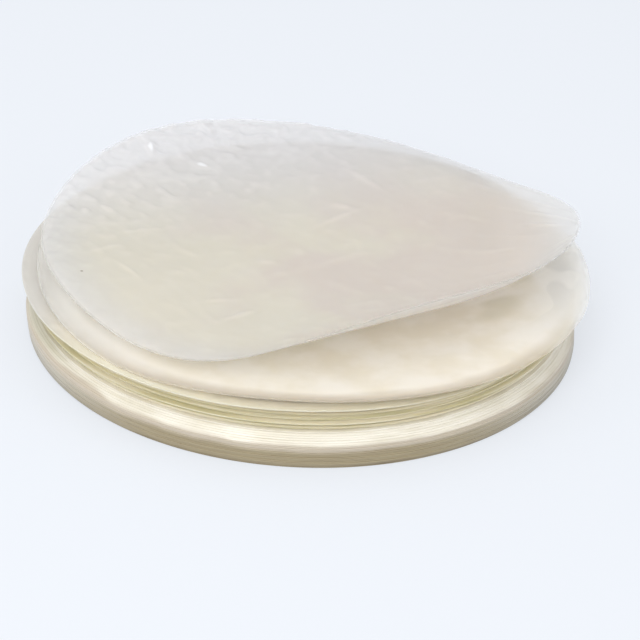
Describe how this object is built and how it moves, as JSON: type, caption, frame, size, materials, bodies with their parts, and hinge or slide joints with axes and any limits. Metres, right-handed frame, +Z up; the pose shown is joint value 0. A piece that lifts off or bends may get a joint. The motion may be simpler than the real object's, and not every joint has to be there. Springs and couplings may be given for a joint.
{
  "type": "rice paper wrapper stack",
  "caption": "Stack of dry round rice paper wrappers: a pressed pack, looser wrappers above it, one slipped to the side and a curled translucent one on top.",
  "frame": {"origin": "middle of the underside of the lowest wrapper, which lies on the table", "axes": "+Z up through the stack, +X to the right and -Y to the front, where the top wrapper's curled corner stands highest at the right front"},
  "size_m": [0.2262, 0.2305, 0.0563],
  "materials": {
    "pressed_paper": "satin",
    "loose_paper": "satin",
    "clear_paper": "satin"
  },
  "bodies": {
    "root": {"pressed_wrapper_01": "pressed_paper", "pressed_wrapper_02": "pressed_paper", "pressed_wrapper_03": "pressed_paper", "pressed_wrapper_04": "pressed_paper", "pressed_wrapper_05": "pressed_paper", "pressed_wrapper_06": "pressed_paper", "pressed_wrapper_07": "pressed_paper", "pressed_wrapper_08": "pressed_paper", "pressed_wrapper_09": "pressed_paper", "pressed_wrapper_10": "pressed_paper", "pressed_wrapper_11": "pressed_paper", "pressed_wrapper_12": "pressed_paper", "pressed_wrapper_13": "pressed_paper", "pressed_wrapper_14": "pressed_paper", "pressed_wrapper_15": "pressed_paper", "pressed_wrapper_16": "pressed_paper", "pressed_wrapper_17": "pressed_paper", "pressed_wrapper_18": "pressed_paper", "pressed_wrapper_19": "pressed_paper", "pressed_wrapper_20": "pressed_paper", "pressed_wrapper_21": "pressed_paper", "pressed_wrapper_22": "pressed_paper", "loose_wrapper_01": "loose_paper", "loose_wrapper_02": "loose_paper", "loose_wrapper_03": "loose_paper", "loose_wrapper_04": "loose_paper", "loose_wrapper_05": "loose_paper", "loose_wrapper_06": "loose_paper", "loose_wrapper_07": "loose_paper", "loose_wrapper_08": "loose_paper", "loose_wrapper_09": "loose_paper", "loose_wrapper_10": "loose_paper", "loose_wrapper_11": "loose_paper", "loose_wrapper_12": "loose_paper", "loose_wrapper_13": "loose_paper", "upper_wrapper": "loose_paper", "slipped_wrapper": "clear_paper", "curled_wrapper": "clear_paper"}
  },
  "joints": []
}
